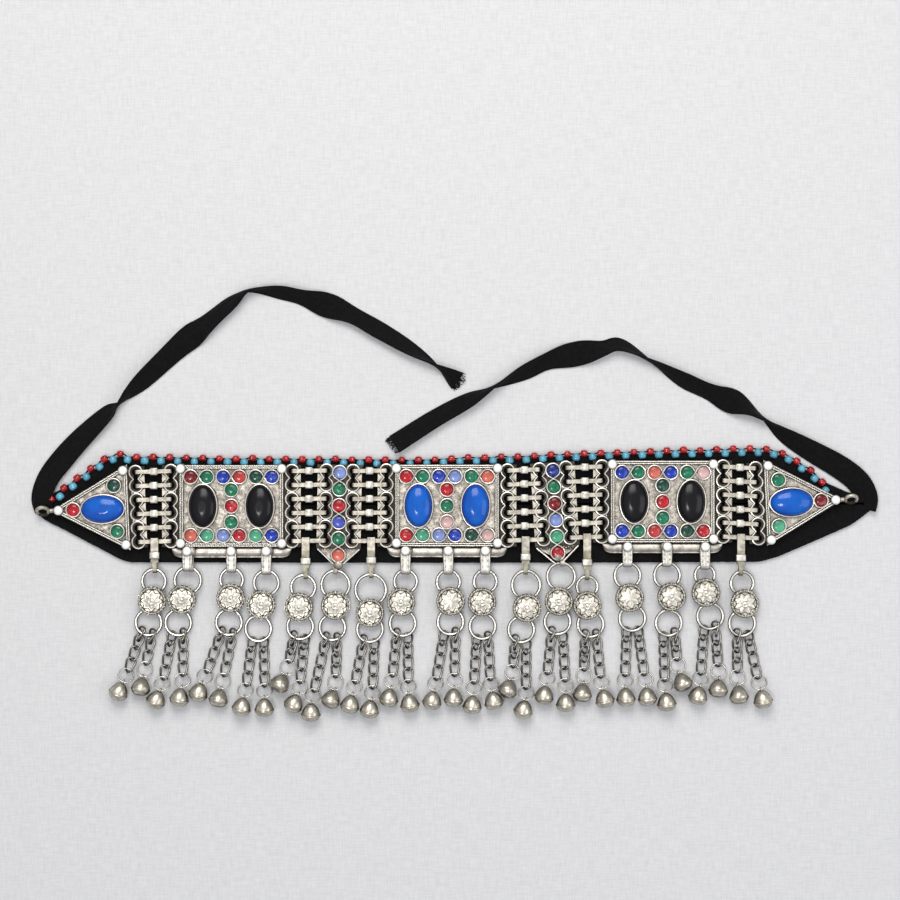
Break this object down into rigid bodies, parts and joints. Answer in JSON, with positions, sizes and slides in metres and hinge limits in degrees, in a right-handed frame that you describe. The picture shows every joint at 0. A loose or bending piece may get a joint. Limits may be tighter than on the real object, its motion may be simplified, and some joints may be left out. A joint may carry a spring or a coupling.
{
  "type": "kuchi choker necklace",
  "caption": "Folk choker of jewelled silver plates on a cloth band with two ties, the plates joined by pierced link bars and hung with star discs, curb chains and small bells.",
  "frame": {"origin": "on the back face of the cloth band, on the surface that it lies on, under the middle of the choker", "axes": "+X along the band, to the right as the choker lies face up; +Y across the band, from the bells to the beaded edge; +Z out of the surface, towards the face"},
  "size_m": [0.3386, 0.174, 0.008],
  "materials": {
    "black_cloth": "matt woven cotton, slightly faded and frayed at the cut ends",
    "plate_silver": "warm nickel silver, satin on the high places, dark patina in the recesses",
    "bar_silver": "worn nickel silver strip with an olive tint",
    "drop_silver": "stamped nickel silver, bright on the relief and dark beside it",
    "chain_silver": "darkened nickel silver wire, worn bright on top, bells brighter",
    "blue_glass": "polished opaque blue glass",
    "black_glass": "polished opaque blue-black glass",
    "red_glass": "small polished red glass stones and seed beads",
    "green_glass": "small polished green glass stones",
    "turquoise_glass": "glossy turquoise seed beads"
  },
  "bodies": {
    "root": {"backing_band": "black_cloth", "cabochon_end_left": "blue_glass", "cabochon_end_right": "blue_glass", "cabochon_panel_centre_1": "blue_glass", "cabochon_panel_centre_2": "blue_glass", "cabochon_panel_left_1": "black_glass", "cabochon_panel_left_2": "black_glass", "cabochon_panel_right_1": "black_glass", "cabochon_panel_right_2": "black_glass", "chains_and_bells_01": "chain_silver", "chains_and_bells_02": "chain_silver", "chains_and_bells_03": "chain_silver", "chains_and_bells_04": "chain_silver", "chains_and_bells_05": "chain_silver", "chains_and_bells_06": "chain_silver", "chains_and_bells_07": "chain_silver", "chains_and_bells_08": "chain_silver", "chains_and_bells_09": "chain_silver", "chains_and_bells_10": "chain_silver", "chains_and_bells_11": "chain_silver", "chains_and_bells_12": "chain_silver", "chains_and_bells_13": "chain_silver", "chains_and_bells_14": "chain_silver", "chains_and_bells_15": "chain_silver", "chains_and_bells_16": "chain_silver", "chains_and_bells_17": "chain_silver", "end_plate_left": "plate_silver", "end_plate_right": "plate_silver", "link_bars_gap_1": "bar_silver", "link_bars_gap_2": "bar_silver", "link_bars_gap_3": "bar_silver", "link_bars_gap_4": "bar_silver", "link_bars_gap_5": "bar_silver", "link_bars_gap_6": "bar_silver", "medallion_01": "drop_silver", "medallion_02": "drop_silver", "medallion_03": "drop_silver", "medallion_04": "drop_silver", "medallion_05": "drop_silver", "medallion_06": "drop_silver", "medallion_07": "drop_silver", "medallion_08": "drop_silver", "medallion_09": "drop_silver", "medallion_10": "drop_silver", "medallion_11": "drop_silver", "medallion_12": "drop_silver", "medallion_13": "drop_silver", "medallion_14": "drop_silver", "medallion_15": "drop_silver", "medallion_16": "drop_silver", "medallion_17": "drop_silver", "panel_centre": "plate_silver", "panel_left": "plate_silver", "panel_right": "plate_silver", "spacer_left": "plate_silver", "spacer_right": "plate_silver", "tie_left": "black_cloth", "tie_right": "black_cloth"}
  },
  "joints": []
}
